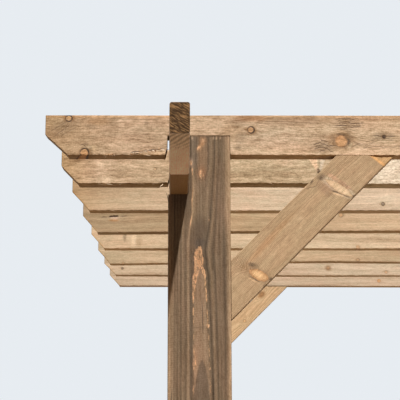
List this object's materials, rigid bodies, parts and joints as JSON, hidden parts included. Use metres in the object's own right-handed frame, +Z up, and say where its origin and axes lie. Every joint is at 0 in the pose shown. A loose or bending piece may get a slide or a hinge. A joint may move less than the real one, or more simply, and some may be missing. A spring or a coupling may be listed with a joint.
{
  "type": "wooden pergola",
  "caption": "Open timber pergola: square posts with housed heads, side beams on edge, notched rafters with splayed ends, and knee braces.",
  "frame": {"origin": "on the ground, at the middle of the plan", "axes": "+X across the pergola along the rafters, to the right seen from the front; +Y from the front to the rear along the beams; +Z up"},
  "size_m": [3, 2.97, 2.452],
  "materials": {
    "post_timber": "weathered grey-brown sawn softwood with dark vertical streaks and orange heartwood flames",
    "beam_timber": "brown sawn softwood with dark open end grain",
    "rafter_timber": "pale fuzzy sawn softwood with fine grain, small orange knots and splintered lower edges",
    "brace_timber": "tan sawn softwood with fine lines along the brace and large oblique knots",
    "fixings": "dull zinc-coated countersunk screws, added with the finishes"
  },
  "bodies": {
    "root": {"post_front_left": "post_timber", "post_front_right": "post_timber", "post_rear_left": "post_timber", "post_rear_right": "post_timber", "beam_left": "beam_timber", "beam_right": "beam_timber", "rafter_1": "rafter_timber", "rafter_2": "rafter_timber", "rafter_3": "rafter_timber", "rafter_4": "rafter_timber", "rafter_5": "rafter_timber", "rafter_6": "rafter_timber", "rafter_7": "rafter_timber", "rafter_8": "rafter_timber", "rafter_brace_front_left": "brace_timber", "rafter_brace_front_right": "brace_timber", "rafter_brace_rear_left": "brace_timber", "rafter_brace_rear_right": "brace_timber", "beam_brace_front_left": "brace_timber", "beam_brace_front_right": "brace_timber", "beam_brace_rear_left": "brace_timber", "beam_brace_rear_right": "brace_timber"}
  },
  "joints": []
}
